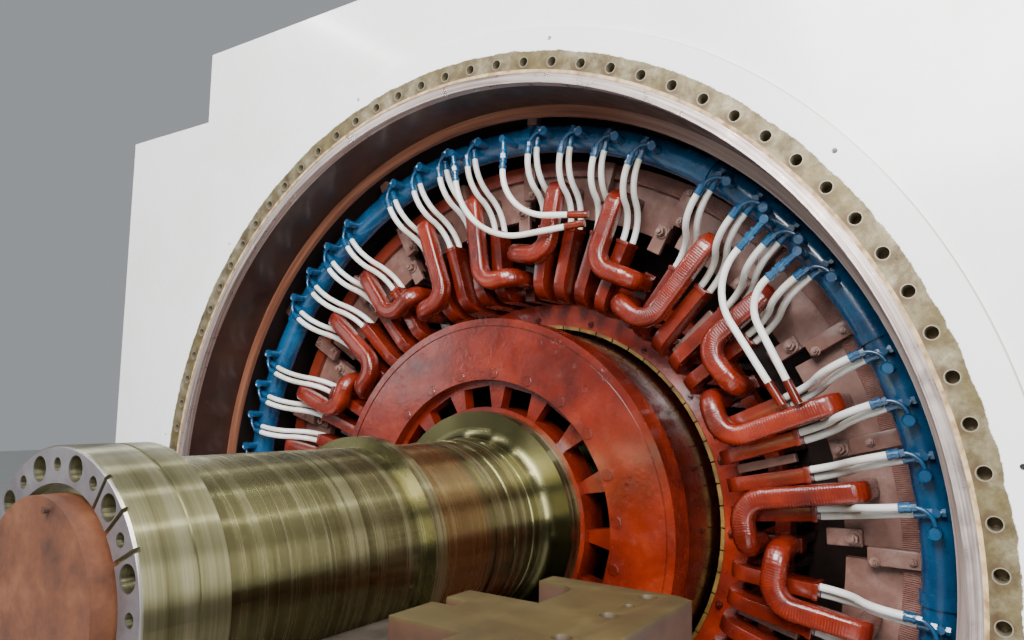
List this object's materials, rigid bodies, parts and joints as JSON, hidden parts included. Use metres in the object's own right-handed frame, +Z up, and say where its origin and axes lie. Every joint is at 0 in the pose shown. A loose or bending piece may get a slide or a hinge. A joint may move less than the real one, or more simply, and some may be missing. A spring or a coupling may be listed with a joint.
{
  "type": "turbogenerator with open end",
  "caption": "Box-cased turbogenerator standing with its front end shield off, water-cooled end winding bare, rotor and half coupling in place over an open bearing pedestal.",
  "frame": {"origin": "on the floor under the middle of the outline", "axes": "+Z up, +Y along the rotor axis from the open front end to the rear, +X to the right seen from the front"},
  "size_m": [4.848, 8.914, 4.7],
  "materials": {
    "white_paint": "gloss",
    "bare_steel": "worn",
    "gasket": "matte",
    "bright_steel": "machined",
    "dark_primer": "matte",
    "terracotta": "satin",
    "core_iron": "satin",
    "red_enamel": "gloss",
    "ochre_resin": "matte",
    "dusty_brown": "matte",
    "blue_enamel": "gloss",
    "white_hose": "satin",
    "tan_paint": "worn",
    "cast_steel": "matte",
    "turned_steel": "turned",
    "orange_primer": "matte"
  },
  "bodies": {
    "stator": {"front_wall": "white_paint", "front_chamber": "white_paint", "stator_barrel": "white_paint", "barrel_ribs": "white_paint", "rear_chamber": "white_paint", "rear_wall": "white_paint", "base_rails": "white_paint", "flange_upper": "bare_steel", "flange_lower": "bare_steel", "gasket_ring": "gasket", "spigot_rim": "bright_steel", "bore_lining": "dark_primer", "baffle_ring": "terracotta", "core_frame": "dark_primer", "stator_core": "core_iron", "winding_bars": "red_enamel", "bar_heads": "red_enamel", "support_ring": "red_enamel", "packing_blocks": "ochre_resin", "clamp_plates": "dusty_brown", "clamp_brackets": "dusty_brown", "bus_arcs": "red_enamel", "inner_leads": "red_enamel", "phase_leads": "red_enamel", "manifold_pipe": "blue_enamel", "manifold_collars": "blue_enamel", "manifold_fittings": "blue_enamel", "winding_hoses": "white_hose", "rear_hoses": "white_hose", "single_hoses": "white_hose", "hose_taps": "red_enamel", "bearing_pedestal": "tan_paint", "bearing_shell": "cast_steel", "pedestal_base": "cast_steel"},
    "rotor": {"shaft": "turned_steel", "half_coupling": "turned_steel", "coupling_cap": "orange_primer", "hub_ring": "red_enamel", "spoke_ring": "red_enamel", "centring_disc": "red_enamel", "disc_bolts": "bright_steel", "retaining_ring": "core_iron", "rotor_body": "core_iron", "rear_retaining_ring": "core_iron", "rear_disc": "red_enamel"}
  },
  "joints": [
    {"name": "rotor_spin", "type": "hinge", "parent": "stator", "child": "rotor", "pos_m": [0, 0, 2.35], "axis": [0, 1, 0], "continuous": true}
  ]
}
